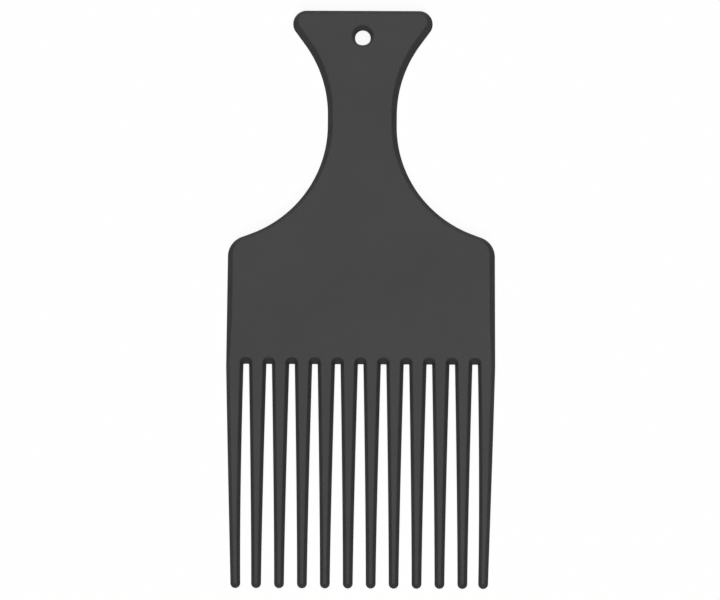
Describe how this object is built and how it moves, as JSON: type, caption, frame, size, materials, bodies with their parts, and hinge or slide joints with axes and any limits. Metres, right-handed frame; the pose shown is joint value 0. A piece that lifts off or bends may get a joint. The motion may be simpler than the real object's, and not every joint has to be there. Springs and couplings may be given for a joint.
{
  "type": "comb",
  "caption": "Wide-toothed lifting comb moulded in dark plastic: long tapered teeth under a shouldered back, a narrow neck and a flared grip with a hanging hole.",
  "frame": {"origin": "under the middle of the bounding box, on the plane of the flat back face that the comb lies on", "axes": "+Y runs along the comb from the tips of the teeth to the grip, +X runs across it to the right in the picture, +Z comes out of the front face"},
  "size_m": [0.0754, 0.165, 0.0045],
  "materials": {
    "comb_plastic": "dark neutral grey plastic, nearly matt with a faint sheen, with the fine even grain of the mould"
  },
  "bodies": {
    "root": {"handle": "comb_plastic", "back": "comb_plastic", "tooth_01": "comb_plastic", "tooth_02": "comb_plastic", "tooth_03": "comb_plastic", "tooth_04": "comb_plastic", "tooth_05": "comb_plastic", "tooth_06": "comb_plastic", "tooth_07": "comb_plastic", "tooth_08": "comb_plastic", "tooth_09": "comb_plastic", "tooth_10": "comb_plastic", "tooth_11": "comb_plastic", "tooth_12": "comb_plastic"}
  },
  "joints": []
}
